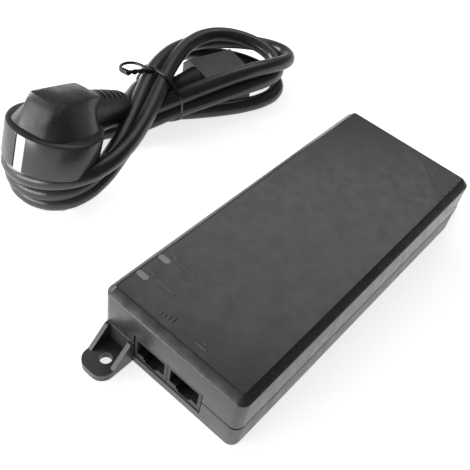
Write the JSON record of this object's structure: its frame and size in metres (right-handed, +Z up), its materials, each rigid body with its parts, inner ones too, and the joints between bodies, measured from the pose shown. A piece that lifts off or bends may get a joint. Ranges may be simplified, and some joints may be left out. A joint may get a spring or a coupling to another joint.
{
  "type": "network power injector",
  "caption": "Mains-powered network power injector: screw-down case with paired network jacks, a mains inlet and a tied mains lead beside it.",
  "frame": {"origin": "under the middle of the case and its ears, on the surface that the case stands on", "axes": "+Y from the jack end to the mains inlet end, +X to the right seen from the jack end, +Z up"},
  "size_m": [0.1465, 0.1785, 0.0471],
  "materials": {
    "cover_plastic": "satin moulded ABS, near black",
    "base_plastic": "satin moulded ABS, dark grey",
    "screw_steel": "zinc plated",
    "label_film": "blank silver film",
    "insulation_film": "translucent film",
    "board_laminate": "solder mask",
    "jack_plastic": "moulded black",
    "contact_gold": "gold plated",
    "light_pipe_plastic": "smoked clear",
    "led_resin": "clear resin",
    "inlet_plastic": "moulded black",
    "pin_nickel": "nickel plated",
    "wire_sleeve": "brown sleeve",
    "package_black": "moulded epoxy",
    "film_box": "moulded box",
    "ceramic_coat": "dipped coat",
    "ferrite": "sintered ferrite",
    "winding_copper": "enamelled copper",
    "can_sleeve": "shrink sleeve",
    "heatsink_aluminium": "plain sheet",
    "winding_tape": "polyester tape",
    "opto_white": "moulded epoxy",
    "plug_plastic": "moulded, satin",
    "relief_plastic": "moulded, flexible",
    "cord_sheath": "extruded, satin",
    "tie_wire": "sleeved wire"
  },
  "bodies": {
    "injector": {"base": "base_plastic", "cover": "cover_plastic", "case_screws": "screw_steel", "rating_label": "label_film", "insulation_sheet": "insulation_film", "circuit_board": "board_laminate", "data_jack": "jack_plastic", "power_jack": "jack_plastic", "data_jack_contacts": "contact_gold", "power_jack_contacts": "contact_gold", "power_light_pipe": "light_pipe_plastic", "link_light_pipe": "light_pipe_plastic", "indicator_leds": "led_resin", "inlet_housing": "inlet_plastic", "inlet_pins": "pin_nickel", "inlet_wires": "wire_sleeve", "fuse": "package_black", "surge_disc": "ceramic_coat", "x_capacitor": "film_box", "emi_choke_core": "ferrite", "emi_choke_winding": "winding_copper", "bridge_rectifier": "package_black", "bulk_capacitor": "can_sleeve", "primary_switch": "package_black", "primary_heatsink": "heatsink_aluminium", "y_capacitor": "ceramic_coat", "optocoupler": "opto_white", "transformer_core": "ferrite", "transformer_winding": "winding_tape", "output_rectifier": "package_black", "output_heatsink": "heatsink_aluminium", "output_capacitors": "can_sleeve", "output_choke": "winding_copper", "data_transformer": "package_black", "power_controller": "package_black"},
    "power_lead": {"plug_body": "plug_plastic", "plug_pins": "pin_nickel", "plug_earth_clips": "pin_nickel", "plug_strain_relief": "relief_plastic", "lead_hank": "cord_sheath", "twist_tie": "tie_wire", "connector_strain_relief": "relief_plastic", "connector_body": "plug_plastic", "connector_contacts": "contact_gold"}
  },
  "joints": [
    {"name": "lead_lift", "type": "slide", "parent": "injector", "child": "power_lead", "axis": [0, 0, 1], "range_m": [0, 0.06]}
  ]
}
